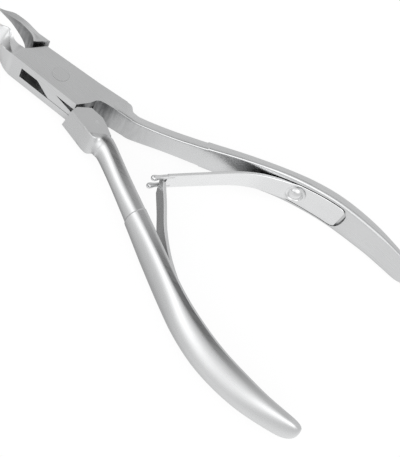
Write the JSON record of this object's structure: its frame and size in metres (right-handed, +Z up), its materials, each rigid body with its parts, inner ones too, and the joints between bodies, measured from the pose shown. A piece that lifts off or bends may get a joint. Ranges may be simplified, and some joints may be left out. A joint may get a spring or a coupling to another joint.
{
  "type": "cuticle nipper",
  "caption": "Stainless cuticle nipper with a box joint, short angled cutting jaws, long bowed handles and a forked double leaf spring that holds it open.",
  "frame": {"origin": "on the pivot axis, in the flat underside of the joint, at the flush end of the pivot pin", "axes": "+X points from the pivot to the handles, +Y to the box lever's handle and +Z up the pivot axis, out of the joint's top cheek"},
  "size_m": [0.1076, 0.0612, 0.0088],
  "materials": {
    "lever_steel": "satin, ground along the handles, brighter on the jaw bevels",
    "pin_steel": "ground flush with the cheeks",
    "spring_steel": "smooth satin",
    "screw_steel": "polished"
  },
  "bodies": {
    "box_lever": {"box_lever": "lever_steel", "pivot_pin": "pin_steel", "upper_spring_screw": "screw_steel"},
    "inner_lever": {"inner_lever": "lever_steel", "lower_spring_screw": "screw_steel"},
    "upper_leaf": {"upper_leaf_spring": "spring_steel"},
    "lower_leaf": {"lower_leaf_spring": "spring_steel"}
  },
  "joints": [
    {"name": "lever_pivot", "type": "hinge", "parent": "box_lever", "child": "inner_lever", "pos_m": [0, 0, 0.0032], "axis": [0, 0, 1], "range_deg": [0, 12], "stiffness_Nm_per_rad": 1.5},
    {"name": "upper_leaf_flex", "type": "hinge", "parent": "box_lever", "child": "upper_leaf", "pos_m": [0.0482, 0.0182, 0.0032], "axis": [0, 0, 1], "range_deg": [-10, 0], "deforming": ["upper_leaf_spring"]},
    {"name": "lower_leaf_flex", "type": "hinge", "parent": "inner_lever", "child": "lower_leaf", "pos_m": [0.048, -0.0182, 0.0032], "axis": [0, 0, 1], "range_deg": [0, 12], "deforming": ["lower_leaf_spring"]}
  ],
  "couplings": [
    {"joint": "upper_leaf_flex", "follows": "lever_pivot", "ratio": -0.74},
    {"joint": "lower_leaf_flex", "follows": "lever_pivot", "ratio": 0.92}
  ]
}
